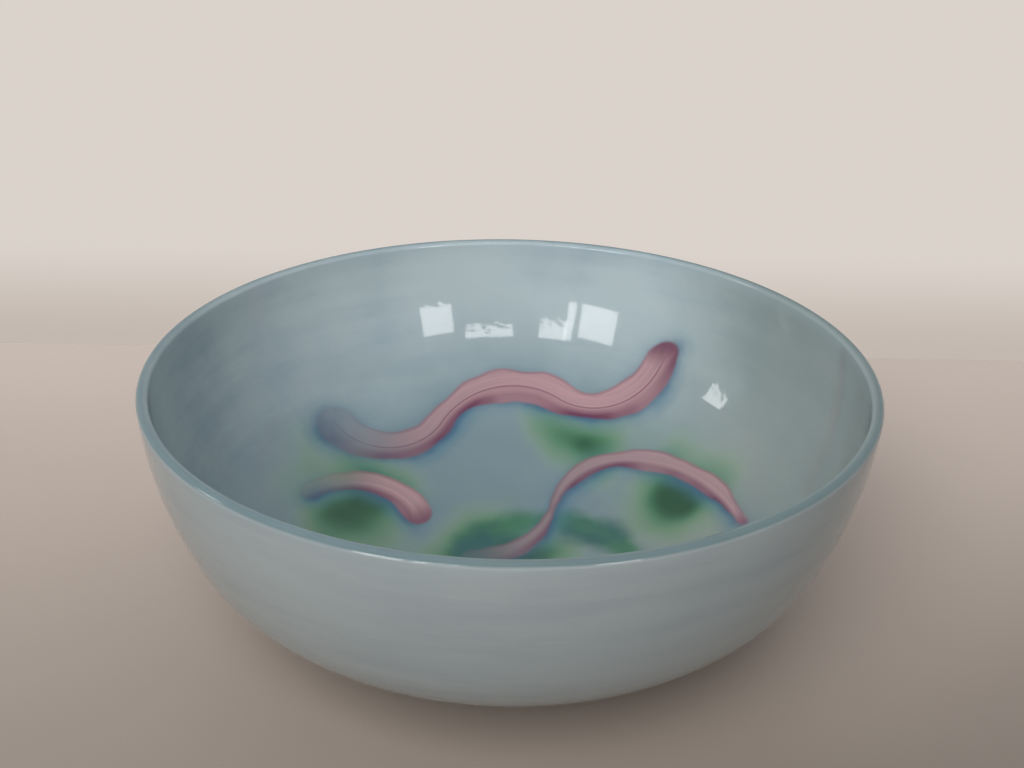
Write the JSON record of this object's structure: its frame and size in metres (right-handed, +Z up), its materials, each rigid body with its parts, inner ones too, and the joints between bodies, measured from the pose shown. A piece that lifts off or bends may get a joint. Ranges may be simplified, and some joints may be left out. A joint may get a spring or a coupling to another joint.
{
  "type": "fruit bowl",
  "caption": "Round blown glass bowl with a nearly upright side, a rounded heel, a fire-polished lip and a ground standing ring.",
  "frame": {"origin": "middle of the ground standing ring, on the surface that the bowl stands on", "axes": "+Z up along the bowl's axis of revolution; +Y is away from the picture's viewer and +X is to the viewer's right"},
  "size_m": [0.24, 0.24, 0.089],
  "materials": {
    "opal_glass": "gloss"
  },
  "bodies": {
    "root": {"bowl": "opal_glass"}
  },
  "joints": []
}
